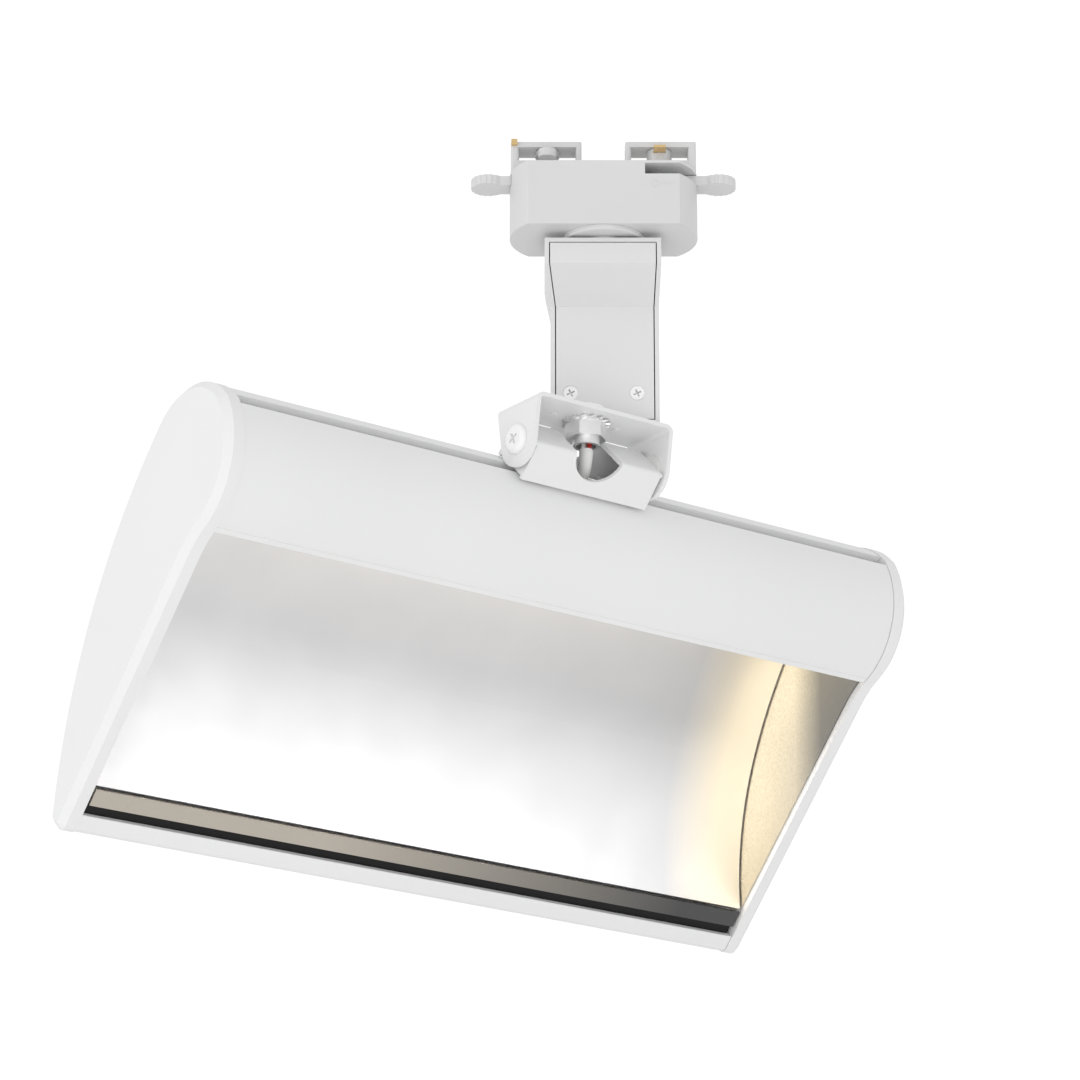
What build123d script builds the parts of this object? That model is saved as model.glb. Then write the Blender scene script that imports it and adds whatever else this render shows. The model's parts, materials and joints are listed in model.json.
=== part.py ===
from build123d import *
import os
from math import acos, atan2, cos, degrees, hypot, radians, sin, sqrt

os.makedirs("parts", exist_ok=True)

# Track spotlight: a wall-washer head on a tilting saddle, a swivelling yoke, a driver arm
# and a track adapter with two quarter-turn levers.  Millimetres.  +Z is up, +X runs along
# the track, +Y points to the rear.  The origin is the middle of the adapter's top seating
# face, where it meets the underside of the track.

# ---------------------------------------------------------------- driving dimensions
RUN = 0.05                  # clearance of every running fit

ADAPTER_FLAT = 55.0         # straight part of the adapter's long sides
ADAPTER_LEN = 68.7
ADAPTER_WIDE = 31.2
ADAPTER_TALL = 25.0
LID_T = 1.0
SLOT_BOTTOM = -5.3          # lower edge of the lever slots
DECK_T = 2.0
FLOOR_T = 3.0
WALL = 2.0

LEVER_X = 20.6              # lever pivots, either side of the middle
LEVER_REACH = 21.8          # pivot to paddle centre
PADDLE_R = 6.2
SHAFT_R = 3.0
ADAPTER_SCREWS = ((-25, -10.4), (25, 10.4), (10, -11.0), (-10, 11.0))

STEM_R = 5.0                # hollow threaded stems, M10
STEM_BORE = 3.6

ARM_TOP = -27.9
ARM_FRONT_TOP = -9.2        # y of the arm's front face under the adapter
ARM_FRONT_LOW = 7.5         # y of the arm's lower front face
ARM_BACK = 23.5
ARM_BEND_HIGH = -37.9
ARM_BEND_LOW = -48.3
ARM_BOTTOM = -94.35
ARM_LEFT_TOP = -21.6
ARM_LEFT_LOW = -19.4
ARM_RIGHT_TOP = 20.8
ARM_RIGHT_LOW = 20.2
ARM_WALL = 1.6
COVER_T = 1.2
COVER_GAP = 0.4

YOKE_X = -6.7               # the yoke's swivel axis
YOKE_T = 1.6
YOKE_HALF = 30.5
YOKE_DEPTH = 24.4
YOKE_UNDER = -96.0          # underside of the yoke's top plate
PIVOT_DROP = 13.5
EAR_R = 10.0
YAW = 36.5                  # the head is turned this far about the swivel
TILT = 44.0                 # and tipped this far about the pivot

HEAD_LEN = 304.8            # 12 inches over the end caps
CAP_T = 7.0
CAP_CHAMFER = 2.5
CAP_GAP = 0.2               # shadow gap between cap and extrusion
HEAD_SHIFT = 0.8            # the head's middle sits this far right of the pivot's middle
CAP_PROUD = 0.35            # how far the caps stand proud of the extrusion
SKIN = 2.0                  # extrusion wall
OPEN_TOP = -51.9            # light opening, measured down from the pivot
OPEN_LOW = -167.4

# ---------------------------------------------------------------- helpers


def save(name, shape):
    export_step(shape, "parts/" + name + ".step")


def group(*shapes):
    solids = []
    for shape in shapes:
        solids += list(shape.solids())
    return Compound(children=solids)


def rod(radius, low, high, x=0.0, y=0.0):
    """Upright cylinder between two heights."""
    return Pos(x, y, (low + high) / 2) * Cylinder(radius, high - low)


def tube(outer, inner, low, high, x=0.0, y=0.0):
    return rod(outer, low, high, x, y) - rod(inner, low - 1, high + 1, x, y)


def block(x, y, z):
    """Box from three (low, high) pairs."""
    size = (x[1] - x[0], y[1] - y[0], z[1] - z[0])
    return Pos((x[0] + x[1]) / 2, (y[0] + y[1]) / 2, (z[0] + z[1]) / 2) * Box(*size)


def hex_nut(across_flats, bore, low, high):
    prism = extrude(RegularPolygon(across_flats / 2, 6, major_radius=False), high - low)
    prism = Pos(0, 0, low) * prism
    corner = across_flats / 2 / cos(radians(30))
    bevel = Pos(0, 0, low) * extrude(Circle(corner + 0.1), high - low)
    bevel = chamfer(bevel.edges().filter_by(GeomType.CIRCLE), 0.6)
    return (prism & bevel) - rod(bore, low - 1, high + 1)


def cross_recess(radius, depth):
    """Cross-shaped driver recess, cut downwards from z = 0."""
    bar = Box(2 * radius, radius * 0.42, 2 * depth)
    return bar + Rot(0, 0, 90) * bar


def wire(points, radius, start, end):
    """Round wire along a smooth path with given end directions."""
    path = Spline(*points, tangents=[start, end])
    section = Plane(origin=points[0], z_dir=start) * Circle(radius)
    return sweep(section, path)


def along_x(shape):
    """Turn a shape modelled about +Z so that its +Z points along +X."""
    return Rot(0, 90, 0) * shape


def mirror_x(shape):
    return mirror(shape, Plane.YZ)


# ---------------------------------------------------------------- track adapter


def adapter_outline(inset=0.0):
    half = ADAPTER_FLAT / 2
    wide = ADAPTER_WIDE / 2 - inset
    end = ADAPTER_LEN / 2 - inset
    sides = Line((-half, -wide), (half, -wide)) + Line((half, wide), (-half, wide))
    right = ThreePointArc((half, -wide), (end, 0), (half, wide))
    left = ThreePointArc((-half, wide), (-end, 0), (-half, -wide))
    return make_face(sides + right + left)


def adapter_prism(inset, low, high):
    return Pos(0, 0, low) * extrude(adapter_outline(inset), high - low)


def slot_space():
    """Room for the right-hand lever: through the front wall and the right end."""
    right = block((LEVER_X - 5.6, 40), (-20, 5.2), (SLOT_BOTTOM, -LID_T))
    return right + Rot(0, 0, 180) * right


def make_adapter():
    shell = adapter_prism(0, -ADAPTER_TALL, -LID_T)
    shell -= adapter_prism(WALL, -ADAPTER_TALL + FLOOR_T, 1)
    shell -= slot_space()
    shell -= rod(STEM_R + RUN, -ADAPTER_TALL - 1, -ADAPTER_TALL + FLOOR_T + 1)
    lower = SLOT_BOTTOM - DECK_T
    ledge = adapter_prism(WALL, lower - 2, lower) - adapter_prism(WALL + 1.4, lower - 3, lower + 1)
    shell += ledge
    for x, y in ADAPTER_SCREWS:
        shell += rod(2.4, -ADAPTER_TALL + FLOOR_T, lower, x, y)
        shell -= rod(1.28, lower - 8, lower + 1, x, y)
    # raised OFF mark beside the slot: a plain ring and a dash
    ring = Pos(18.5, 0, -9.0) * Rot(90, 0, 0) * (Circle(1.55) - Circle(1.05))
    ring = Pos(0, -ADAPTER_WIDE / 2 + 0.05, 0) * extrude(ring, 0.2)
    dash = block((21.6, 25.2), (-ADAPTER_WIDE / 2 - 0.15, -ADAPTER_WIDE / 2 + 0.1), (-9.2, -8.8))
    shell += ring
    shell += dash
    save("adapter_housing", shell)

    deck = adapter_prism(WALL + 0.1, lower, SLOT_BOTTOM)
    for side in (-1, 1):
        deck -= rod(SHAFT_R + RUN, lower - 1, 0, side * LEVER_X)
    deck -= rod(5.0, lower - 1, 0)
    for x, y in ADAPTER_SCREWS:
        deck -= rod(1.3, lower - 1, 0, x, y)
        deck += tube(2.4, 1.3, SLOT_BOTTOM, -LID_T, x, y)
    save("lever_deck", deck)

    lid = adapter_prism(0, -LID_T, 0)
    for side in (-1, 1):
        nose = block((8, 34), (-5, 5), (0, 12))
        nose -= block((LEVER_X - 10.4, LEVER_X + 10.4), (-6, 6), (4.6, 9.9))
        nose = fillet(nose.edges().filter_by(Axis.Z), 1.0)
        if side < 0:
            nose = Rot(0, 0, 180) * nose
        lid += nose
        lid -= rod(SHAFT_R + RUN, -2, 13, side * LEVER_X)
    for x, y in ADAPTER_SCREWS:
        lid -= rod(1.3, -2, 1, x, y)
        lid -= Pos(x, y, -0.4) * Cone(1.3, 2.1, 0.8)
    save("adapter_lid", lid)

    screws = []
    for x, y in ADAPTER_SCREWS:
        screw = rod(1.25, -14, -0.7, x, y) + Pos(x, y, -0.4) * Cone(1.25, 2.0, 0.7)
        screws.append(screw - Pos(x, y, -0.05) * cross_recess(1.0, 0.3))
    save("adapter_screws", group(*screws))

    low = -ADAPTER_TALL + FLOOR_T
    terminal = block((-24, -12), (-5, 5), (low, low + 8))
    for y in (-3.2, 0, 3.2):
        terminal -= Pos(-18, y, low + 8) * Cylinder(1.2, 4)
        terminal -= Pos(-12, y, low + 3.5) * along_x(Cylinder(1.1, 8))
    save("terminal_block", terminal)

    ground = block((-33.8, -31.6), (-6.4, 6.4), (12, 12.6))
    ground += block((-33.8, -31.6), (-6.4, -5.0), (10.4, 12.6))
    ground += block((-33.8, -31.6), (5.0, 6.4), (10.4, 12.6))
    save("ground_contact", ground)

    leads = []
    for y, dy in ((-3.2, -1.4), (0, 0), (3.2, 1.4)):
        start = (-11.0, y, low + 3.5)
        path = [start, (-8.9, y, low + 7.4), (-3.6, y * 0.7, low + 10.4), (0, dy, low + 2.0)]
        leads.append(wire(path, 0.8, (0.6, 0, 1), (0, 0, -1)))
    save("adapter_leads", group(*leads))


def lever_outline():
    """Plan of the lever about its pivot, reaching along +X."""
    plan = Circle(5.4) + Pos(LEVER_REACH / 2, 0) * Rectangle(LEVER_REACH, 8.8)
    plan += Pos(LEVER_REACH, 0) * Circle(PADDLE_R)
    for turn in range(-110, 111, 20):
        away = radians(turn)
        spot = (LEVER_REACH + (PADDLE_R + 0.55) * cos(away), (PADDLE_R + 0.55) * sin(away))
        plan -= Pos(*spot) * Circle(0.9)
    return plan


def make_lever():
    """One lever with its shaft, standing on its own pivot."""
    paddle = Pos(0, 0, -4.9) * extrude(lever_outline(), 3.5)
    hub = rod(5.4, SLOT_BOTTOM + RUN, -LID_T - RUN)
    shaft = rod(SHAFT_R, SLOT_BOTTOM - DECK_T, 11.5)
    keyed = shaft - block((-4, 4), (SHAFT_R - 0.7, 4), (4.6, 12))
    return paddle + hub + keyed


def make_levers():
    right = make_lever()
    save("lever_contact", Pos(LEVER_X, 0, 0) * right)
    save("lever_lock", Pos(-LEVER_X, 0, 0) * Rot(0, 0, 180) * right)

    key = rod(SHAFT_R + 0.02, 4.0, 10.0) - block((-4, 4), (SHAFT_R - 0.67, 4), (3, 11))
    cam = Pos(0, 0, 4.7) * extrude(RectangleRounded(6.6, 20.0, 3.2), 3.0)
    cam += tube(4.4, 2.0, 7.7, 9.7)
    cam -= key
    save("lock_cam", Pos(-LEVER_X, 0, 0) * Rot(0, 0, 180) * cam)

    carrier = rod(4.6, 4.7, 9.7) - key
    carrier -= block((-2.3, 2.3), (3.4, 6), (5.5, 6.5))
    carrier -= block((-2.3, 2.3), (-6, -3.4), (7.9, 8.9))
    save("contact_carrier", Pos(LEVER_X, 0, 0) * carrier)
    blade = block((-2.2, 2.2), (3.4, 9.4), (5.55, 6.45))
    other = block((-2.2, 2.2), (-9.4, -3.4), (7.95, 8.85))
    save("contact_blades", Pos(LEVER_X, 0, 0) * group(blade, other))


# ---------------------------------------------------------------- arm with the driver


def yz_solid(points, low, high):
    """Prism of a (y, z) polygon between two x positions."""
    face = Plane.YZ * make_face(Polyline(*points, close=True))
    return Pos(low, 0, 0) * extrude(face, amount=high - low, dir=(1, 0, 0))


def xz_solid(points, low, high):
    """Prism of an (x, z) polygon between two y positions."""
    lifted = [(x, low, z) for x, z in points]
    face = make_face(Polyline(*lifted, close=True))
    return extrude(face, amount=high - low, dir=(0, 1, 0))


def arm_front_view(inset, top, bottom):
    right_top = ARM_RIGHT_TOP - inset
    right_low = ARM_RIGHT_LOW - inset
    left_top = ARM_LEFT_TOP + inset
    left_low = ARM_LEFT_LOW + inset
    right = [(right_top, top), (right_top, ARM_BEND_HIGH), (right_low, ARM_BEND_LOW), (right_low, bottom)]
    left = [(left_low, bottom), (left_low, ARM_BEND_LOW), (left_top, ARM_BEND_HIGH), (left_top, top)]
    return xz_solid(right + left, -40, 60)


def make_arm():
    side = [
        (ARM_FRONT_TOP, ARM_TOP), (ARM_FRONT_TOP, ARM_BEND_HIGH),
        (ARM_FRONT_LOW, ARM_BEND_LOW), (ARM_FRONT_LOW, ARM_BOTTOM),
        (ARM_BACK, ARM_BOTTOM), (ARM_BACK, -40.0), (-ARM_FRONT_TOP, -31.1), (-ARM_FRONT_TOP, ARM_TOP),
    ]
    body = yz_solid(side, -30, 30) & arm_front_view(0, ARM_TOP, ARM_BOTTOM)
    floor = ARM_BOTTOM + 2.0
    room = [
        (-30, ARM_TOP - ARM_WALL), (-30, floor), (ARM_BACK - ARM_WALL, floor),
        (ARM_BACK - ARM_WALL, -40.9), (-ARM_FRONT_TOP - ARM_WALL, -32.0),
        (-ARM_FRONT_TOP - ARM_WALL, ARM_TOP - ARM_WALL),
    ]
    hollow = yz_solid(room, -30, 30) & arm_front_view(ARM_WALL, ARM_TOP - ARM_WALL, floor)
    body -= hollow
    # tongue under the arm that carries the yoke's stem
    tongue = block((YOKE_X - 8, YOKE_X + 8), (0, 12), (ARM_BOTTOM, floor))
    tongue += rod(8.0, ARM_BOTTOM, floor, YOKE_X)
    body += tongue
    body -= rod(STEM_R + 0.02, ARM_BOTTOM - 1, floor + 1, YOKE_X)
    body -= rod(STEM_R + 0.02, ARM_TOP - 4, ARM_TOP + 1)
    inner_front = ARM_FRONT_LOW + COVER_T
    for x in (-12.1, 12.1):
        post = Pos(x, (inner_front + 22) / 2, -81.9) * Rot(90, 0, 0) * Cylinder(3.0, 22 - inner_front)
        bore = Pos(x, inner_front + 4, -81.9) * Rot(90, 0, 0) * Cylinder(1.5, 10)
        body += post
        body -= bore
    for x in (-15.5, 15.5):
        for z in (-52.5, -73.5):
            body += Pos(x, 21.0, z) * Rot(90, 0, 0) * Cylinder(2.0, 2.0)
    save("arm_body", body)

    top = ARM_TOP - ARM_WALL - COVER_GAP
    low = floor + COVER_GAP
    sheet = [
        (ARM_FRONT_TOP, top), (ARM_FRONT_TOP, ARM_BEND_HIGH),
        (ARM_FRONT_LOW, ARM_BEND_LOW), (ARM_FRONT_LOW, low),
        (ARM_FRONT_LOW + COVER_T, low), (ARM_FRONT_LOW + COVER_T, ARM_BEND_LOW + 0.65),
        (ARM_FRONT_TOP + COVER_T, ARM_BEND_HIGH + 0.65), (ARM_FRONT_TOP + COVER_T, top),
    ]
    cover = yz_solid(sheet, -30, 30) & arm_front_view(ARM_WALL + COVER_GAP, top, low)
    cover -= block((YOKE_X - 2.8, YOKE_X + 2.8), (0, 12), (low - 1, -86.4))
    screws = []
    for x in (-12.1, 12.1):
        place = Pos(x, ARM_FRONT_LOW, -81.9) * Rot(90, 0, 0)
        cover -= place * Pos(0, 0, -3) * Cylinder(1.6, 8)
        cover -= place * Pos(0, 0, -0.45) * Cone(1.85, 3.1, 1.1)
        screw = Pos(0, 0, -4.7) * Cylinder(1.5, 7.4)
        screw += Pos(0, 0, -0.65) * Cone(1.5, 2.65, 0.9)
        screw -= Pos(0, 0, -0.2) * Rot(0, 0, 25) * cross_recess(1.5, 1.3)
        screws.append(place * screw)
    save("arm_cover", cover)
    save("arm_cover_screws", group(*screws))


def make_swivel():
    disc = tube(15.1, STEM_R + 0.02, -26.8, -ADAPTER_TALL - RUN)
    disc = chamfer(disc.edges().group_by(Axis.Z)[0].sort_by(SortBy.LENGTH)[-1], 0.5)
    disc += tube(8.0, STEM_R + 0.02, ARM_TOP, -26.8)
    save("swivel_disc", disc)
    save("swivel_stem", tube(STEM_R, STEM_BORE, -35.6, -15.6))
    floor = -ADAPTER_TALL + FLOOR_T
    washer = tube(8.6, STEM_R + 0.02, floor + RUN, floor + 1.0)
    save("swivel_washer", washer)
    upper = hex_nut(13.0, STEM_R + 0.02, floor + 1.0, floor + 5.0)
    lower = hex_nut(13.0, STEM_R + 0.02, ARM_TOP - ARM_WALL - 4.0, ARM_TOP - ARM_WALL)
    save("swivel_nuts", group(upper, lower))


def make_driver():
    back = 20.0
    board = block((-17.4, 17.4), (back - 1.6, back), (-76.5, -50.5))
    save("driver_board", board)
    face = back - 1.6
    coil = block((-9, 3), (face - 8.0, face), (-68.0, -56.0))
    coil += block((-10.5, 4.5), (face - 6.4, face - 1.6), (-66.6, -57.4))
    save("driver_transformer", coil)
    cans = []
    for x, z, r, tall in ((10.5, -57.0, 3.4, 8.4), (12.2, -67.2, 2.6, 7.4), (-13.6, -58.5, 2.2, 6.0)):
        can = Pos(x, face - tall / 2, z) * Rot(90, 0, 0) * Cylinder(r, tall)
        cans.append(can)
    save("driver_capacitors", group(*cans))
    chips = []
    sizes = (
        (-13.5, -67.5, 4.5, 5.5, 1.6),
        (8.5, -73.2, 5.0, 3.6, 1.5),
        (0, -72.8, 3.2, 3.0, 1.2),
    )
    for x, z, wide, tall, high in sizes:
        across = (x - wide / 2, x + wide / 2)
        upright = (z - tall / 2, z + tall / 2)
        chips.append(block(across, (face - high, face), upright))
    save("driver_chips", group(*chips))
    feeds = []
    for x in (-1.6, 0, 1.6):
        path = [(x, 0, -31.0), (x, 1.0, -38.0), (x * 2, 12.0, -46.5), (x * 2, face - 0.9, -52.4)]
        feeds.append(wire(path, 0.75, (0, 0, -1), (0, 0.4, -1)))
    save("arm_leads", group(*feeds))
    path = [
        (YOKE_X, face - 2.0, -74.5), (YOKE_X, 14.6, -84.0),
        (YOKE_X, 8.6, -88.6), (YOKE_X, 2.6, -89.4), (YOKE_X, 0, -94.0),
    ]
    save("driver_output_lead", wire(path, 1.5, (0, 0.1, -1), (0, 0, -1)))


# ---------------------------------------------------------------- yoke


def to_yoke(shape):
    """From the yoke's frame, origin on the pivot axis, into the part's frame."""
    return Pos(YOKE_X, 0, YOKE_UNDER - PIVOT_DROP) * Rot(0, 0, YAW) * shape


def make_stem_set():
    floor = ARM_BOTTOM + 2.0
    end = YOKE_UNDER - 9.6
    stem = tube(STEM_R - 0.1, STEM_BORE, end, floor, YOKE_X)
    stem += tube(7.0, STEM_BORE, floor, floor + 1.2, YOKE_X)
    stem += tube(STEM_R, STEM_BORE, ARM_BOTTOM, floor, YOKE_X)
    save("yoke_stem", stem)
    top = YOKE_UNDER - RUN
    teeth = tube(7.2, STEM_R - 0.08, top - 1.4, top)
    for turn in range(0, 360, 24):
        teeth += Rot(0, 0, turn) * Pos(7.8, 0, top - 0.7) * Rot(24, 0, 0) * Box(1.9, 1.9, 0.8)
    teeth &= rod(8.75, top - 1.4, top)
    save("yoke_lock_washer", Pos(YOKE_X, 0, 0) * teeth)
    nut = hex_nut(13.4, STEM_R - 0.08, top - 7.0, top - 1.4)
    save("yoke_nut", Pos(YOKE_X, 0, 0) * Rot(0, 0, 12) * nut)


def make_yoke():
    top = PIVOT_DROP + YOKE_T
    half = YOKE_HALF
    outer = block((-half, half), (-30, 30), (-30, top))
    outer = fillet(outer.edges().filter_by(Axis.Y).group_by(Axis.Z)[-1], 3.0)
    inner = block((-half + YOKE_T, half - YOKE_T), (-31, 31), (-31, PIVOT_DROP))
    inner = fillet(inner.edges().filter_by(Axis.Y).group_by(Axis.Z)[-1], 1.4)
    depth = YOKE_DEPTH / 2
    reach = hypot(depth, PIVOT_DROP)
    turn = atan2(PIVOT_DROP, depth) - acos(EAR_R / reach)
    touch = (EAR_R * cos(turn), EAR_R * sin(turn))
    outline = Polyline(
        (touch[0], touch[1]), (depth, PIVOT_DROP), (depth, top + 1),
        (-depth, top + 1), (-depth, PIVOT_DROP), (-touch[0], touch[1]),
    )
    outline += ThreePointArc((-touch[0], touch[1]), (0, -EAR_R), (touch[0], touch[1]))
    side = extrude(Plane.YZ * make_face(outline), amount=80, dir=(1, 0, 0))
    yoke = (outer - inner) & (Pos(-40, 0, 0) * side)
    yoke -= rod(STEM_R - 0.1 + RUN, 5, 30)
    yoke -= Pos(0, 0, 0) * along_x(Cylinder(3.0 + RUN, 90))
    for x in (-14.5, 13.5):
        yoke += rod(1.3, PIVOT_DROP - 0.5, PIVOT_DROP, x)
    save("yoke", to_yoke(yoke))


# ---------------------------------------------------------------- head
# The head is drawn in its own frame, origin on the pivot axis: x along the head, y to the
# rear (away from the light opening), z up.  A profile point is (n, u): n forwards, u up.

FRONT = (-6.25, -40.3, 31.3)        # large front arc: centre n, centre u, radius
NECK = (60.7, -63.4, 39.5)          # hollow arc between the front arc and the opening
REAR_TOP = (-2.35, -37.2, 27.3)
REAR = (194.85, -43.3, 224.5)       # long back arc
OPENING_N = 21.2
TOP_U = -9.9
BOTTOM_U = -175.6
TOE_R = 3.2
SLOT_N = 0.65                       # T-slot centre
SLOT_HALF = 2.65


def to_head(shape):
    return to_yoke(Rot(TILT, 0, 0) * shape)


def to_shade(shape):
    return to_head(Pos(HEAD_SHIFT, 0, 0) * shape)


def on_arc(arc, angle, change=0.0):
    """Point on an arc (centre n, centre u, radius) at an angle, with the radius changed."""
    away = radians(angle)
    reach = arc[2] + change
    return (arc[0] + reach * cos(away), arc[1] + reach * sin(away))


FRONT_END = -19.04      # degrees round the front arc where the neck arc takes over
NECK_MID = 170.48       # degrees round the neck arc, half way along it


def head_face(inset):
    """Closed head profile, moved inwards by inset."""
    top = TOP_U - inset
    low = BOTTOM_U + inset
    reach = FRONT[2] - inset
    crown = (FRONT[0] + sqrt(reach ** 2 - (top - FRONT[1]) ** 2), top)
    start = degrees(atan2(top - FRONT[1], crown[0] - FRONT[0]))
    joint = on_arc(FRONT, FRONT_END, -inset)
    neck_end = (OPENING_N - inset, NECK[1])
    toe = max(TOE_R - inset, 0.4)
    heel_n = REAR[0] - sqrt((REAR[2] - inset) ** 2 - (low - REAR[1]) ** 2)
    heel_turn = degrees(atan2(low - REAR[1], heel_n - REAR[0])) + 360
    back = (REAR[0] - REAR[2] + inset, REAR[1])
    back_top = (REAR_TOP[0] - REAR_TOP[2] + inset, REAR_TOP[1])
    brow = (REAR_TOP[0], top)
    corner = (OPENING_N - inset - toe * (1 - sin(radians(45))), low + toe * (1 - sin(radians(45))))
    pieces = [
        ("arc", crown, on_arc(FRONT, (start + FRONT_END) / 2, -inset), joint),
        ("arc", joint, on_arc(NECK, NECK_MID, inset), neck_end),
        ("line", neck_end, (OPENING_N - inset, low + toe)),
        ("arc", (OPENING_N - inset, low + toe), corner, (OPENING_N - inset - toe, low)),
        ("line", (OPENING_N - inset - toe, low), (heel_n, low)),
        ("arc", (heel_n, low), on_arc(REAR, (heel_turn + 180) / 2, -inset), back),
        ("line", back, back_top),
        ("arc", back_top, on_arc(REAR_TOP, 135, -inset), brow),
        ("line", brow, crown),
    ]
    edges = []
    for piece in pieces:
        spots = [(-n, u) for n, u in piece[1:]]
        edges.append(ThreePointArc(*spots) if piece[0] == "arc" else Line(*spots))
    return Plane.YZ * make_face(edges)


def head_prism(inset, low, high):
    return Pos(low, 0, 0) * extrude(head_face(inset), amount=high - low, dir=(1, 0, 0))


def nu_solid(points, low, high):
    """Prism of an (n, u) polygon between two positions along the head."""
    return yz_solid([(-n, u) for n, u in points], low, high)


def nu_block(n, u, low, high):
    return block((low, high), (-n[1], -n[0]), u)


def nu_rod(n, u, radius, low, high):
    """Cylinder along the head."""
    return Pos((low + high) / 2, -n, u) * along_x(Cylinder(radius, high - low))


def make_extrusion():
    half = HEAD_LEN / 2 - CAP_T - CAP_GAP
    shell = head_prism(CAP_PROUD, -half, half) - head_prism(CAP_PROUD + SKIN, -half - 1, half + 1)
    rail = nu_block((SLOT_N - 6.6, SLOT_N + 6.6), (-17.6, -10), -half, half)
    shell += rail & head_prism(CAP_PROUD, -half, half)
    shell += nu_rod(-19.0, -24.5, 4.0, -half, half) & head_prism(CAP_PROUD, -half, half)
    shell += nu_rod(10.6, -163.0, 3.7, -half, half) & head_prism(CAP_PROUD, -half, half)
    shell -= nu_block((SLOT_N - SLOT_HALF, SLOT_N + SLOT_HALF), (-13, -9), -200, 200)
    shell -= nu_block((SLOT_N - 4.5, SLOT_N + 4.5), (-15.8, -12.6), -200, 200)
    shell -= nu_rod(-19.0, -24.5, 2.25, -200, 200)
    shell -= nu_rod(10.6, -163.0, 2.25, -200, 200)
    shell -= nu_block((12.5, 40), (OPEN_LOW, OPEN_TOP), -200, 200)
    bead = nu_rod(22.0, OPEN_TOP + 0.55, 0.55, -half, half)
    shell += bead
    shell -= Pos(1.5 - HEAD_SHIFT, -SLOT_N, -15) * Cylinder(4.45, 12)
    # fine line along the lip above the light opening
    shell -= nu_rod(23.32, OPEN_TOP + 2.3, 0.3, -200, 200)
    save("head_extrusion", to_shade(shell))


def make_caps():
    half = HEAD_LEN / 2
    plate = head_prism(0, half - CAP_T, half)
    rim = plate.faces().sort_by(Axis.X)[-1].edges()
    plate = chamfer(rim, CAP_CHAMFER)
    plate += nu_rod(-19.0, -24.5, 2.2, half - CAP_T - 9, half - CAP_T)
    plate += nu_rod(10.6, -163.0, 2.2, half - CAP_T - 9, half - CAP_T)
    save("end_cap_right", to_shade(plate))
    save("end_cap_left", to_shade(mirror_x(plate)))


# front of the reflector as two tangent arcs: forward, up, and its lean from straight down
REFLECTOR = [
    (-25.4, -40.0, -1.6), (-22.92, -74.84, 9.8), (-13.6, -108.5, 21.2),
    (0.01, -134.08, 34.7), (19.2, -155.8, 48.2),
]
REFLECTOR_T = 0.8


def reflector_points(distance):
    """The reflector's points moved to its rear side."""
    moved = []
    for n, u, lean in REFLECTOR:
        back = (distance * cos(radians(lean)), distance * sin(radians(lean)))
        moved.append((n - back[0], u - back[1]))
    return moved


def reflector_edges(points):
    spots = [(-n, u) for n, u in points]
    return ThreePointArc(*spots[0:3]) + ThreePointArc(*spots[2:5])


def nu_line(start, end):
    return Line((-start[0], start[1]), (-end[0], end[1]))


def make_reflector():
    half = HEAD_LEN / 2 - CAP_T - 1.4
    front_points = reflector_points(0)
    rear_points = reflector_points(REFLECTOR_T)
    front = reflector_edges(front_points)
    rear = reflector_edges(rear_points)
    first = front_points[0]
    last = front_points[-1]
    top_edge = nu_line(first, rear_points[0])
    low_edge = nu_line(last, rear_points[-1])
    outline = make_face(front.edges() + rear.edges() + top_edge.edges() + low_edge.edges())
    sheet = extrude(Plane.YZ * outline, amount=2 * half, dir=(1, 0, 0))
    save("reflector", to_shade(Pos(-half, 0, 0) * sheet))

    # ribs between the reflector and the extrusion's back wall
    behind = reflector_points(REFLECTOR_T + 0.1)
    rim = [behind[-1], (16.0, -160.0), (-60.0, -160.0), (-60.0, -40.0), behind[0]]
    rim_edges = Polyline(*[(-n, u) for n, u in rim]).edges()
    space = Plane.YZ * make_face(reflector_edges(behind).edges() + rim_edges)
    ribs = []
    for x in (-118.0, -40.0, 38.0, 116.0):
        rib = Pos(x, 0, 0) * extrude(space, amount=2.0, dir=(1, 0, 0))
        rib &= head_prism(CAP_PROUD + SKIN + 0.1, x - 1, x + 3)
        ribs.append(rib & nu_block((-40, 2.0), (-142.0, -50.0), x - 1, x + 3))
    save("reflector_ribs", to_shade(group(*ribs)))

    # polished end plates, one against each cap
    inner = HEAD_LEN / 2 - CAP_T
    cheek_rim = [last, (20.4, -53.5), (8.0, -44.0), (-6.0, -44.0), first]
    cheek_edges = Polyline(*[(-n, u) for n, u in cheek_rim]).edges()
    cheek = extrude(Plane.YZ * make_face(front.edges() + cheek_edges), amount=0.8, dir=(1, 0, 0))
    cheek &= head_prism(CAP_PROUD + SKIN + 0.1, -1, 2)
    right = Pos(inner - 0.8, 0, 0) * cheek
    save("reflector_end_right", to_shade(right))
    save("reflector_end_left", to_shade(mirror_x(right)))

    trim = nu_block((19.5, 20.4), (-163.4, -156.9), -half, half)
    save("front_trim", to_shade(trim))
    strip = nu_block((16.9, 18.68), (-171.5, -162.6), -half, half)
    strip += nu_block((18.6, 19.4), (-163.4, -159.0), -half, half)
    save("shadow_strip", to_shade(strip))


LED_MID = (12.6, -36.0)             # centre of the LED board's front face
LED_TURN = 225.0                    # direction the LEDs face, degrees in (n, u)


def led_frame(forward, across):
    """(n, u) of a point given by distance ahead of the board and distance across it."""
    a = radians(LED_TURN)
    b = a + radians(90)
    n = LED_MID[0] + forward * cos(a) + across * cos(b)
    u = LED_MID[1] + forward * sin(a) + across * sin(b)
    return (n, u)


def led_bar(forward, across, low, high):
    near, far = forward
    spots = [(near, across[0]), (far, across[0]), (far, across[1]), (near, across[1])]
    return nu_solid([led_frame(f, c) for f, c in spots], low, high)


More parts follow.
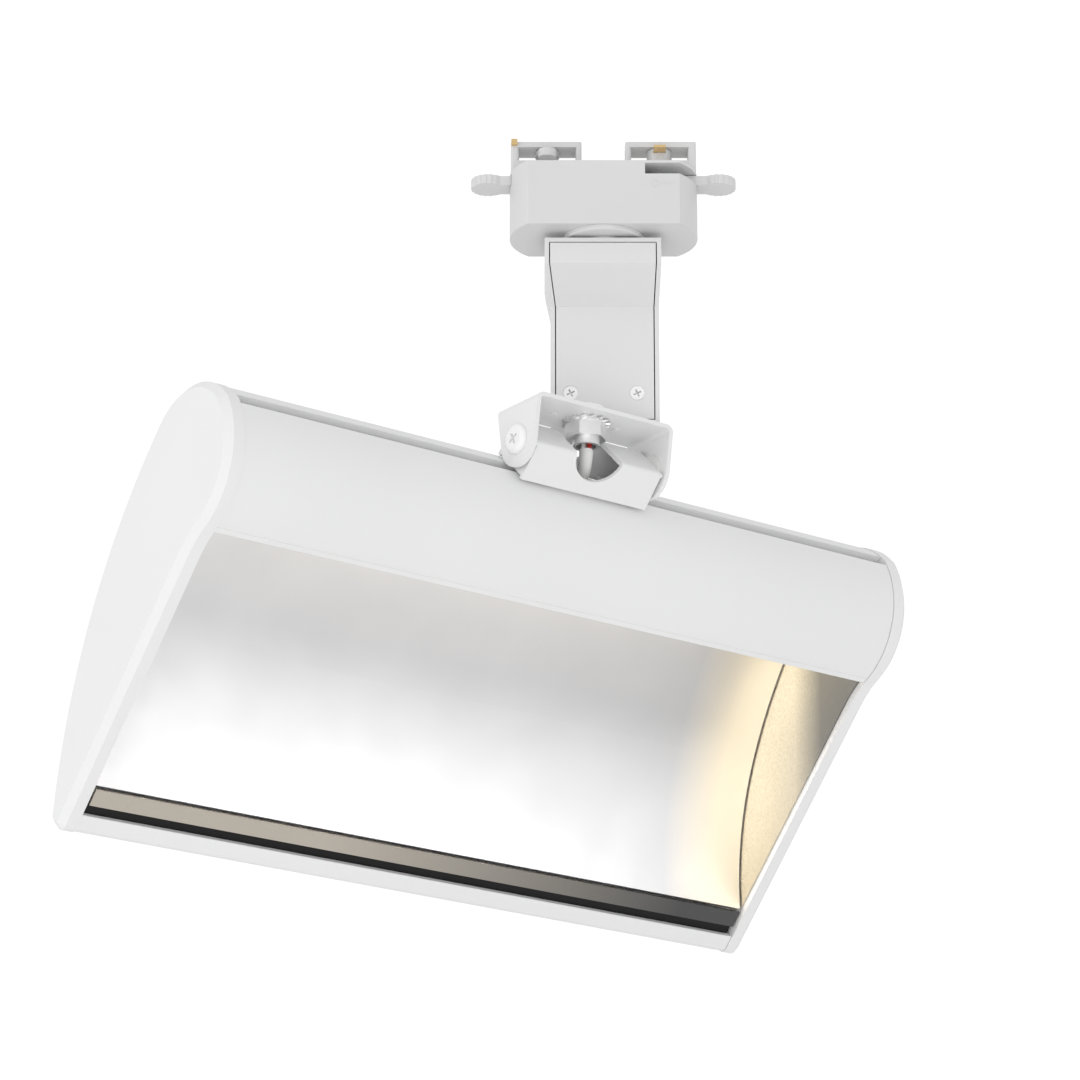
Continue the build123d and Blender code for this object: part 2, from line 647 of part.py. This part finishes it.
def make_light_engine():
    half = HEAD_LEN / 2 - CAP_T - 2.0
    sink = led_bar((-40, -1.6), (-8.5, 8.5), -half, half) & head_prism(CAP_PROUD + SKIN, -half, half)
    sink -= led_bar((-11, -5), (-6.8, -3.2), -200, 200)
    sink -= led_bar((-11, -5), (-1.8, 1.8), -200, 200)
    sink -= led_bar((-11, -5), (3.2, 6.8), -200, 200)
    save("heat_sink", to_shade(sink))
    board = led_bar((-1.6, 0), (-6, 6), -half + 2, half - 2)
    save("led_board", to_shade(board))
    chips = []
    for step in range(29):
        x = -140 + 10 * step
        if abs(abs(x) - 95) > 3 and abs(x) > 3:
            chips.append(led_bar((0, 0.8), (-1.4, 1.4), x - 1.4, x + 1.4))
    save("led_chips", to_shade(group(*chips)))
    lens = led_bar((5.0, 6.6), (-8.4, 8.4), -half + 2, half - 2)
    lens += led_bar((-1.58, 5.0), (-8.4, -7.2), -half + 2, half - 2)
    lens += led_bar((-1.58, 5.0), (7.2, 8.4), -half + 2, half - 2)
    save("led_lens", to_shade(lens))


def make_saddle():
    half = 27.8
    deep = 8.6              # pivot to front flange
    rear = 11.0             # pivot to rear flange
    thick = 1.5
    top = 3.9
    low = -11.2
    outer = block((-half, half), (-deep, rear), (low, top))
    outer = fillet(outer.edges().filter_by(Axis.X).group_by(Axis.Z)[-1], 1.8)
    inner = block((-half + 1.6, half - 1.6), (-deep + thick, rear - thick), (low - 1, top - thick))
    saddle = outer - inner
    # the ends stop on the rail and turn inwards as feet
    rail_top = TOP_U - CAP_PROUD
    saddle -= block((-40, 40), (-deep + thick, rear - thick), (low - 2, rail_top))
    saddle -= block((-40, 40), (rear - thick - 0.1, rear + 1), (low - 2, rail_top - 0.75))
    for side in (-1, 1):
        foot = block((14.5, half - 1.0), (-deep + thick, rear - thick), (rail_top, rail_top + 1.5))
        foot -= rod(1.6, -20, 0, 20.0, -SLOT_N)
        saddle += foot if side > 0 else mirror_x(foot)
    # through slot for the stem and the cable, round at the bottom
    gap = block((-10.2, 10.2), (-20, 20), (top + 0.6, 20))
    gap += Pos(0, 0, top + 0.6) * Rot(90, 0, 0) * Cylinder(10.2, 60)
    saddle -= gap
    for side in (-1, 1):
        for y in (-deep + 0.8, rear - 0.8):
            bump = Pos(side * half, y, top - 1.0) * along_x(Cylinder(0.8, 1.0))
            saddle += bump
    saddle -= along_x(Cylinder(2.52, 90))
    save("saddle", to_head(saddle))

    feet_screws = []
    tees = []
    for x in (-20.0, 20.0):
        shank = rod(1.5, -15.6, rail_top + 1.5)
        head = rod(2.8, rail_top + 1.5, rail_top + 3.4)
        head = fillet(head.edges().group_by(Axis.Z)[-1], 0.8)
        screw = shank + head - Pos(0, 0, rail_top + 3.4) * cross_recess(1.5, 0.9)
        feet_screws.append(Pos(x, -SLOT_N, 0) * screw)
        tee = block((-4.3, 4.3), (-4.2, 4.2), (-15.5, -12.6)) - rod(1.52, -20, 0)
        tees.append(Pos(x, -SLOT_N, 0) * tee)
    save("saddle_screws", to_head(group(*feet_screws)))
    save("saddle_tee_nuts", to_head(group(*tees)))

    screws = []
    washers = []
    nuts = []
    for side in (-1, 1):
        head = rod(5.45, YOKE_HALF + RUN, YOKE_HALF + 2.2)
        head = fillet(head.edges().group_by(Axis.Z)[-1], 1.5)
        head -= Pos(0, 0, YOKE_HALF + 2.2) * Rot(0, 0, 20) * cross_recess(2.4, 1.2)
        screw = head + rod(3.0, half, YOKE_HALF + RUN) + rod(2.5, 21.0, half)
        screw = along_x(screw)
        washer = along_x(tube(6.5, 3.02, half, YOKE_HALF - YOKE_T - RUN))
        nut = block((half - 5.6, half - 1.65), (-6.5, 6.5), (-6.0, top - thick - 0.05))
        nut -= along_x(Cylinder(2.52, 90))
        if side < 0:
            screw, washer, nut = mirror_x(screw), mirror_x(washer), mirror_x(nut)
        screws.append(screw)
        washers.append(washer)
        nuts.append(nut)
    save("pivot_screws", to_head(group(*screws)))
    save("pivot_washers", to_head(group(*washers)))
    save("pivot_nuts", to_head(group(*nuts)))

    grommet = rod(5.7, rail_top, rail_top + 1.4) + rod(4.4, -19.4, rail_top)
    grommet += rod(5.4, -19.4, -17.62)
    grommet -= rod(2.9, -25, 0)
    save("cable_grommet", to_head(Pos(1.5, -SLOT_N, 0) * grommet))


def make_feed():
    """Flexible lead from the yoke's stem into the head, in the yoke's frame."""

    def in_head(x, n, u):
        a = radians(TILT)
        return (x, -n * cos(a) - u * sin(a), -n * sin(a) + u * cos(a))

    enter = in_head(1.5, SLOT_N, -8.6)
    inside = in_head(1.5, SLOT_N, -22.0)
    down = (0, -sin(radians(-TILT)), -cos(radians(TILT)))
    path = [(0, 0, 2.6), (0.3, 1.2, -1.4), enter, inside]
    save("feed_cable", to_yoke(wire(path, 2.5, (0, 0, -1), down)))
    cores = []
    for turn in (-60, 60, 180):
        x = 1.25 * cos(radians(turn))
        y = 1.25 * sin(radians(turn))
        cores.append(rod(0.85, 2.62, 11.0, x, y))
    save("feed_core_live", to_yoke(cores[0]))
    save("feed_cores", to_yoke(group(cores[1], cores[2])))

    block_low = -33.0
    terminal = block((-6, 9), (1.0, 11.0), (block_low, block_low + 8.0))
    for x in (-2.2, 1.5, 5.2):
        terminal -= rod(1.2, block_low + 4, block_low + 9, x, 6.0)
    save("head_terminal", to_head(terminal))


make_adapter()
make_levers()
make_arm()
make_swivel()
make_driver()
make_stem_set()
make_yoke()
make_extrusion()
make_caps()
make_reflector()
make_light_engine()
make_saddle()
make_feed()
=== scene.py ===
import json
from math import cos, radians, sin

import bpy
from mathutils import Matrix, Vector

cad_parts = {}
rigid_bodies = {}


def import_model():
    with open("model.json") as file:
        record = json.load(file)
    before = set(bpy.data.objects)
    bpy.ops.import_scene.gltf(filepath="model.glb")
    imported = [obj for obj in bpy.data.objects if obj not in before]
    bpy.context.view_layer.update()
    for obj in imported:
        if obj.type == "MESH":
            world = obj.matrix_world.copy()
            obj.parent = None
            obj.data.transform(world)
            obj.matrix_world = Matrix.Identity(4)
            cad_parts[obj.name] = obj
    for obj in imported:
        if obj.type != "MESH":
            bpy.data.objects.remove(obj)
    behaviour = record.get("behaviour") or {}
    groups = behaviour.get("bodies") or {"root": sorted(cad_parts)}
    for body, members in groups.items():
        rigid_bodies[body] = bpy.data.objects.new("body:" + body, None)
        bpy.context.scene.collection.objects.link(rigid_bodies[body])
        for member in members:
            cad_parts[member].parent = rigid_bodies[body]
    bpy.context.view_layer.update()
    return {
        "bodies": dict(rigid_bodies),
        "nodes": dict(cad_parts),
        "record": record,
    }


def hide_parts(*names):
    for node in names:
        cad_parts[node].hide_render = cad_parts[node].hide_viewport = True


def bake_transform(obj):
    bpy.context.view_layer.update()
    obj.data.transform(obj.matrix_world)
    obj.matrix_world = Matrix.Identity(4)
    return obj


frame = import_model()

nodes = frame["nodes"]
bodies = frame["bodies"]

# The part is in metres: origin at the adapter's seating face, z up.
MM = 0.001
PIVOT = Vector((-6.7, 0.0, -109.5)) * MM     # tilt axis, where it crosses the yoke's swivel axis
YAW = radians(36.5)                          # yoke's turn about z
TILT = radians(44.0)                         # head's turn about its own long axis
YOKE_FRAME = Matrix.Translation(PIVOT) @ Matrix.Rotation(YAW, 4, "Z")
HEAD_FRAME = YOKE_FRAME @ Matrix.Rotation(TILT, 4, "X")
HEAD_TURN = HEAD_FRAME.to_3x3()
HEAD_ALONG = HEAD_TURN @ Vector((1, 0, 0))
HEAD_FORWARD = HEAD_TURN @ Vector((0, -1, 0))
HEAD_UP = HEAD_TURN @ Vector((0, 0, 1))


def at_yoke(x, y, z):
    """World point from one in the yoke's frame, in mm."""
    return YOKE_FRAME @ (Vector((x, y, z)) * MM)


def at_head(along, forward, up):
    """World point from one in the head's frame, in mm."""
    return HEAD_FRAME @ (Vector((along, -forward, up)) * MM)


# ------------------------------------------------------------------ camera

CAMERA_AT = (-0.02327, -1.5403, -0.6751)
CAMERA_PITCH = 19.12         # degrees above the horizontal
LENS = 152.0
SENSOR = 36.0


def make_camera():
    data = bpy.data.cameras.new("photo_camera")
    data.lens = LENS
    data.sensor_width = SENSOR
    camera = bpy.data.objects.new("photo_camera", data)
    camera.location = CAMERA_AT
    camera.rotation_euler = (radians(90 + CAMERA_PITCH), 0, 0)
    bpy.context.scene.collection.objects.link(camera)
    bpy.context.scene.camera = camera


# ------------------------------------------------------------------ materials


# sockets of a Mix node that works on colours
MIX_FIRST = 6
MIX_SECOND = 7
MIX_RESULT = 2


class Nodes:
    """Small helper round a material's node tree."""

    def __init__(self, name):
        self.material = bpy.data.materials.new(name)
        self.material.use_nodes = True
        self.tree = self.material.node_tree
        self.shader = self.tree.nodes["Principled BSDF"]
        self.place = self.tree.nodes.new("ShaderNodeTexCoord").outputs["Object"]

    def link(self, source, target):
        self.tree.links.new(source, target)

    def set(self, **values):
        for name, value in values.items():
            self.shader.inputs[name.replace("_", " ")].default_value = value

    def colour(self, source):
        self.link(source, self.shader.inputs["Base Color"])

    def roughness(self, value, low, high):
        """Roughness that runs from low to high with a value from 0.3 to 0.7."""
        self.link(self.spread(value, low, high), self.shader.inputs["Roughness"])

    def scaled(self, x, y, z):
        mapping = self.tree.nodes.new("ShaderNodeMapping")
        mapping.inputs["Scale"].default_value = (x, y, z)
        self.link(self.place, mapping.inputs["Vector"])
        return mapping.outputs["Vector"]

    def noise(self, scale, detail=3.0, rough=0.5, place=None):
        node = self.tree.nodes.new("ShaderNodeTexNoise")
        node.inputs["Scale"].default_value = scale
        node.inputs["Detail"].default_value = detail
        node.inputs["Roughness"].default_value = rough
        self.link(place or self.place, node.inputs["Vector"])
        return node.outputs["Fac"]

    def ramp(self, value, low, high, start=0.3, end=0.7):
        node = self.tree.nodes.new("ShaderNodeValToRGB")
        node.color_ramp.elements[0].position = start
        node.color_ramp.elements[1].position = end
        node.color_ramp.elements[0].color = (*low, 1)
        node.color_ramp.elements[1].color = (*high, 1)
        self.link(value, node.inputs["Fac"])
        return node.outputs["Color"]

    def spread(self, value, low, high, start=0.3, end=0.7):
        node = self.tree.nodes.new("ShaderNodeMapRange")
        node.inputs["From Min"].default_value = start
        node.inputs["From Max"].default_value = end
        node.inputs["To Min"].default_value = low
        node.inputs["To Max"].default_value = high
        self.link(value, node.inputs["Value"])
        return node.outputs["Result"]

    def mixed(self, amount, first, second):
        """A colour output turned towards a fixed colour by an amount from 0 to 1."""
        node = self.tree.nodes.new("ShaderNodeMix")
        node.data_type = "RGBA"
        self.link(amount, node.inputs["Factor"])
        self.link(first, node.inputs[MIX_FIRST])
        node.inputs[MIX_SECOND].default_value = (*second, 1)
        return node.outputs[MIX_RESULT]

    def along(self, direction):
        """Distance in metres along a direction from the pivot."""
        moved = self.tree.nodes.new("ShaderNodeVectorMath")
        moved.operation = "SUBTRACT"
        moved.inputs[1].default_value = PIVOT
        self.link(self.place, moved.inputs[0])
        dot = self.tree.nodes.new("ShaderNodeVectorMath")
        dot.operation = "DOT_PRODUCT"
        dot.inputs[1].default_value = direction
        self.link(moved.outputs["Vector"], dot.inputs[0])
        return dot.outputs["Value"]

    def bump(self, height, strength, distance=0.0002, below=None):
        node = self.tree.nodes.new("ShaderNodeBump")
        node.inputs["Strength"].default_value = strength
        node.inputs["Distance"].default_value = distance
        self.link(height, node.inputs["Height"])
        if below is not None:
            self.link(below, node.inputs["Normal"])
        self.link(node.outputs["Normal"], self.shader.inputs["Normal"])
        return node.outputs["Normal"]


def tint(colour, factor):
    return tuple(min(1.0, c * factor) for c in colour)


def powder_coat(name, colour, roughness=0.38):
    """Satin powder coat: fine orange peel with faint broad mottling."""
    m = Nodes(name)
    m.colour(m.ramp(m.noise(14, 4), tint(colour, 0.982), tint(colour, 1.01)))
    m.roughness(m.noise(45, 3), roughness - 0.05, roughness + 0.05)
    peel = m.bump(m.noise(900, 2), 0.05, 0.00012)
    m.bump(m.noise(5200, 1), 0.04, 0.00004, below=peel)
    m.set(Specular_IOR_Level=0.45)
    return m.material


def moulded_plastic(name, colour, roughness=0.42, grain=3500, specular=0.5):
    """Moulded plastic: fine spark texture and slight colour drift."""
    m = Nodes(name)
    m.colour(m.ramp(m.noise(30, 3), tint(colour, 0.975), tint(colour, 1.01)))
    m.roughness(m.noise(120, 3), roughness - 0.05, roughness + 0.06)
    m.bump(m.noise(grain, 2), 0.10, 0.00005)
    m.set(Specular_IOR_Level=specular)
    return m.material


def plated_metal(name, colour, roughness=0.3, stretch=(1, 1, 14)):
    """Plated or drawn metal: stretched scratches over a soft patina."""
    m = Nodes(name)
    m.set(Metallic=1.0)
    lines = m.noise(900, 3, 0.6, m.scaled(*stretch))
    m.colour(m.ramp(m.noise(90, 4), tint(colour, 0.86), tint(colour, 1.08)))
    m.roughness(lines, roughness - 0.08, roughness + 0.12)
    m.bump(lines, 0.12, 0.00004)
    return m.material


def reflector_metal_painted_light(name, colour):
    """Bright rolled aluminium: orange peel and pinprick sparkles, with a painted grey reflection
    towards the right end and a painted warm LED glow where the LED row ends.
    """
    m = Nodes(name)
    m.set(Metallic=0.8)
    rolled = m.ramp(m.noise(24, 3), tint(colour, 0.97), tint(colour, 1.02))
    # painted grey reflection, growing towards the right end of the head
    painted_grey_reflection_amount = m.spread(m.along(HEAD_ALONG), 0.0, 0.55, 0.02, 0.105)
    with_painted_grey = m.mixed(painted_grey_reflection_amount, rolled, tint(colour, 0.80))
    # painted warm glow of the LED light at the very right end
    painted_warm_glow_amount = m.spread(m.along(HEAD_ALONG), 0.0, 0.95, 0.108, 0.132)
    m.colour(m.mixed(painted_warm_glow_amount, with_painted_grey, (0.95, 0.88, 0.74)))
    m.roughness(m.noise(60, 3), 0.32, 0.37)
    peel = m.bump(m.noise(950, 3, 0.6), 0.14, 0.0001)
    m.bump(m.noise(4200, 1), 0.08, 0.00003, below=peel)
    return m.material


def end_metal_painted_light():
    """Aluminium end plate whose colour is painted warm LED light, with painted brown shade towards
    the front and a painted grey reflection near its front top, where the LED row ends.
    """
    m = Nodes("aluminium_painted_warm_light")
    m.set(Metallic=1.0)
    # painted warm glow of the LED light, over a fine grain
    warm = m.ramp(m.noise(900, 4, 0.7), (0.76, 0.71, 0.60), (0.95, 0.91, 0.81))
    # painted brown shade towards the front
    painted_front_shade_amount = m.spread(m.along(HEAD_FORWARD), 0.0, 0.55, -0.012, 0.022)
    with_painted_front_shade = m.mixed(painted_front_shade_amount, warm, (0.44, 0.39, 0.30))
    # painted grey reflection near the front top
    painted_patch_direction = HEAD_FORWARD * 0.72 + HEAD_UP * 0.69
    painted_grey_patch_amount = m.spread(m.along(painted_patch_direction), 0.0, 0.9, -0.060, -0.044)
    m.colour(m.mixed(painted_grey_patch_amount, with_painted_front_shade, (0.24, 0.24, 0.235)))
    m.roughness(m.noise(60, 3), 0.26, 0.34)
    peel = m.bump(m.noise(700, 4, 0.7), 0.45, 0.0003)
    m.bump(m.noise(2200, 1), 0.2, 0.00006, below=peel)
    return m.material


def trim_metal_painted_reflection():
    """Drawn aluminium trim whose colour is a painted reflection: taupe at the left, painted darker
    towards its right end.
    """
    m = Nodes("trim_aluminium_painted_reflection")
    m.set(Metallic=1.0)
    # painted reflection: the colour runs from taupe to near black along the head
    place = m.spread(m.along(HEAD_ALONG), 0.0, 1.0, -0.12, 0.13)
    m.colour(m.ramp(place, (0.60, 0.55, 0.48), (0.12, 0.12, 0.12), 0.3, 0.95))
    lines = m.noise(900, 3, 0.6, m.scaled(1, 1, 14))
    m.roughness(lines, 0.26, 0.36)
    m.bump(lines, 0.06, 0.00004)
    return m.material


def circuit_board(name, colour):
    """Solder mask with darker copper runs under it."""
    m = Nodes(name)
    bricks = m.tree.nodes.new("ShaderNodeTexBrick")
    bricks.inputs["Scale"].default_value = 260
    bricks.inputs["Mortar Size"].default_value = 0.06
    bricks.inputs["Color1"].default_value = (*tint(colour, 0.85), 1)
    bricks.inputs["Color2"].default_value = (*colour, 1)
    bricks.inputs["Mortar"].default_value = (*tint(colour, 1.7), 1)
    m.link(m.place, bricks.inputs["Vector"])
    m.colour(bricks.outputs["Color"])
    m.roughness(m.noise(80), 0.25, 0.4)
    m.bump(bricks.outputs["Fac"], 0.2, 0.00003)
    return m.material


def glowing(name, colour, strength):
    """Phosphor of a lit LED, brighter in the middle of its grain."""
    m = Nodes(name)
    tone = m.ramp(m.noise(1200), tint(colour, 0.9), colour)
    m.colour(tone)
    m.link(tone, m.shader.inputs["Emission Color"])
    m.roughness(m.noise(700), 0.4, 0.55)
    m.set(Emission_Strength=strength)
    return m.material


def frosted(name, colour):
    """Frosted light cover."""
    m = Nodes(name)
    m.colour(m.ramp(m.noise(40), tint(colour, 0.96), colour))
    m.roughness(m.noise(900), 0.45, 0.6)
    m.bump(m.noise(3000), 0.15, 0.00005)
    m.set(Transmission_Weight=0.85, IOR=1.49)
    return m.material


MATERIALS = {
    "white_paint": powder_coat("white_powder_coat", (0.81, 0.81, 0.812)),
    "white_plastic": moulded_plastic("white_moulding", (0.68, 0.68, 0.68), 0.36),
    "arm_paint": powder_coat("arm_powder_coat", (0.73, 0.73, 0.73)),
    "steel": plated_metal("zinc_plated_steel", (0.88, 0.88, 0.88), 0.4),
    "painted_screw": powder_coat("white_screw_paint", (0.9, 0.9, 0.9), 0.32),
    "washer_nylon": moulded_plastic("nylon", (0.78, 0.78, 0.76), 0.5),
    "brass": plated_metal("brass", (0.80, 0.58, 0.28), 0.25),
    # reflector colour holds a painted grey reflection and a painted warm glow at its right end
    "reflector_aluminium": reflector_metal_painted_light("bright_aluminium_painted_light", (0.69, 0.70, 0.725)),
    # end plate colour is painted warm light, painted shade and a painted grey reflection
    "end_aluminium_painted_light": end_metal_painted_light(),
    # trim colour is a painted reflection that darkens towards the right end
    "trim_aluminium_painted_reflection": trim_metal_painted_reflection(),
    "black_plastic": moulded_plastic("black_moulding", (0.012, 0.012, 0.013), 0.45, specular=0.2),
    "terminal_plastic": moulded_plastic("terminal_moulding", (0.74, 0.74, 0.69), 0.4),
    "circuit_board": circuit_board("solder_mask", (0.02, 0.16, 0.06)),
    "led_board": powder_coat("white_solder_mask", (0.80, 0.80, 0.77), 0.5),
    "led": glowing("lit_phosphor", (1.0, 0.82, 0.5), 6.0),
    "lens": frosted("frosted_cover", (0.95, 0.94, 0.90)),
    "aluminium": plated_metal("mill_aluminium", (0.72, 0.72, 0.73), 0.35, (1, 14, 1)),
    "cable_white": moulded_plastic("cable_sheath", (0.74, 0.74, 0.72), 0.45, 2500),
    "core_red": moulded_plastic("red_insulation", (0.50, 0.03, 0.02), 0.4, 2500),
}


# pieces whose finish isn't that of their slot
OWN_FINISH = {
    "arm_body": "arm_paint",
    "arm_cover": "arm_paint",
    "arm_cover_screws": "painted_screw",
    "reflector_end_left": "end_aluminium_painted_light",
    "reflector_end_right": "end_aluminium_painted_light",
    "front_trim": "trim_aluminium_painted_reflection",
}


def dress_nodes():
    subparts = frame["record"]["subparts"]
    slots = {part["node"]: part["material_slot"] for part in subparts}
    for name, node in nodes.items():
        node.data.materials.clear()
        node.data.materials.append(MATERIALS[OWN_FINISH.get(name, slots[name])])


# ------------------------------------------------------------------ lead between stem and head


LEAD_R = 2.5 * MM
ENTRY = (1.5, 0.65)          # where the lead enters the head, along and forward, in mm


def make_feed_lead():
    """Sheathed lead that comes out of the stem and bends down into the head."""
    route = [
        at_yoke(0.0, 0.0, 2.6), at_yoke(0.0, 0.0, 0.2), at_yoke(0.5, 1.4, -2.6),
        at_head(*ENTRY, -5.6), at_head(*ENTRY, -10.0), at_head(*ENTRY, -21.8),
    ]
    curve = bpy.data.curves.new("feed_lead", "CURVE")
    curve.dimensions = "3D"
    spline = curve.splines.new("NURBS")
    spline.points.add(len(route) - 1)
    for point, spot in zip(spline.points, route):
        point.co = (*spot, 1)
    spline.order_u = 3
    spline.use_endpoint_u = True
    curve.resolution_u = 10
    curve.bevel_depth = LEAD_R
    curve.bevel_resolution = 6
    curve.use_fill_caps = True
    drawn = bpy.data.objects.new("feed_lead_curve", curve)
    bpy.context.scene.collection.objects.link(drawn)
    bpy.context.view_layer.update()
    drawn_mesh = drawn.evaluated_get(bpy.context.evaluated_depsgraph_get())
    mesh = bpy.data.meshes.new_from_object(drawn_mesh)
    bpy.data.objects.remove(drawn)
    lead = bpy.data.objects.new("feed_lead", mesh)
    bpy.context.scene.collection.objects.link(lead)
    for face in mesh.polygons:
        face.use_smooth = True
    mesh.materials.clear()
    mesh.materials.append(MATERIALS["cable_white"])
    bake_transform(lead)
    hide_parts("feed_cable")


# ------------------------------------------------------------------ studio


def area_light(name, place, target, size, power):
    """White rectangular light that faces a target."""
    data = bpy.data.lights.new(name, "AREA")
    data.shape = "RECTANGLE"
    data.size, data.size_y = size
    data.energy = power
    light = bpy.data.objects.new(name, data)
    bpy.context.scene.collection.objects.link(light)
    light.location = place
    facing = Vector(target) - Vector(place)
    light.rotation_euler = facing.to_track_quat("-Z", "Y").to_euler()


LED_MID = (12.6, -36.0)      # middle of the LED board, forward and up from the pivot, in mm
LED_FACES = 225.0            # where the board faces, degrees from forwards to up
LED_AHEAD = 9.0              # from the board to the light, in mm
LED_LIGHT = (0.272, 0.006)   # the light's size, in metres


def led_light(name, power, colour, toward, spread):
    """Long narrow light just ahead of the LED board; toward is degrees from forwards to up."""
    data = bpy.data.lights.new(name, "AREA")
    data.shape = "RECTANGLE"
    data.size, data.size_y = LED_LIGHT
    data.energy = power
    data.color = colour
    data.spread = radians(spread)
    light = bpy.data.objects.new(name, data)
    bpy.context.scene.collection.objects.link(light)
    ahead = radians(LED_FACES)
    forward = LED_MID[0] + LED_AHEAD * cos(ahead)
    up = LED_MID[1] + LED_AHEAD * sin(ahead)
    middle = at_head(0, forward, up)
    across = HEAD_ALONG
    back = HEAD_TURN @ Vector((0, cos(radians(toward)), -sin(radians(toward))))
    side = back.cross(across)
    light.matrix_world = Matrix((
        (across.x, side.x, back.x, middle.x),
        (across.y, side.y, back.y, middle.y),
        (across.z, side.z, back.z, middle.z),
        (0, 0, 0, 1),
    ))
    world = light.matrix_world.copy()
    light.parent = bodies["head"]
    light.matrix_world = world


def light_leds():
    """The LEDs' light: a beam on the lower reflector and a soft warm spill on the rest."""
    led_light("led_beam", 0.17, (1.0, 0.97, 0.93), 276.0, 58.0)
    led_light("led_spill", 0.07, (1.0, 0.84, 0.62), LED_FACES, 170.0)


WORLD_LIGHT = 0.82          # strength that lights the object
WORLD_SEEN = 1.05           # strength that shows behind it
FLOOR_SIZE = 6
FLOOR_Z = -0.95
MIDDLE = (0, 0, -0.15)      # middle of the object


def make_studio():
    world = bpy.data.worlds.new("studio")
    bpy.context.scene.world = world
    world.use_nodes = True
    tree = world.node_tree
    background = tree.nodes["Background"]
    background.inputs["Color"].default_value = (1, 1, 1, 1)
    path = tree.nodes.new("ShaderNodeLightPath")
    strength = tree.nodes.new("ShaderNodeMapRange")
    strength.inputs["To Min"].default_value = WORLD_LIGHT
    strength.inputs["To Max"].default_value = WORLD_SEEN
    tree.links.new(path.outputs["Is Camera Ray"], strength.inputs["Value"])
    tree.links.new(strength.outputs["Result"], background.inputs["Strength"])

    bpy.ops.mesh.primitive_plane_add(size=FLOOR_SIZE, location=(0, 0, FLOOR_Z))
    floor = bpy.context.object
    floor.name = "studio_floor"
    cover = Nodes("floor_paper")
    cover.colour(cover.ramp(cover.noise(3), (0.88, 0.88, 0.88), (0.9, 0.9, 0.9)))
    cover.set(Roughness=0.8)
    floor.data.materials.append(cover.material)

    area_light("key_left", (-1.4, -0.7, 0.1), MIDDLE, (1.2, 1.2), 4.0)
    area_light("fill_floor", (0.0, -0.5, -0.9), (0, -0.1, 0), (1.6, 1.2), 3.6)
    area_light("fill_low", (0.0, -1.6, -0.5), MIDDLE, (1.6, 0.8), 2.6)


make_camera()
dress_nodes()
make_feed_lead()
light_leds()
make_studio()
bpy.context.scene.view_settings.view_transform = "Standard"

bpy.context.view_layer.update()
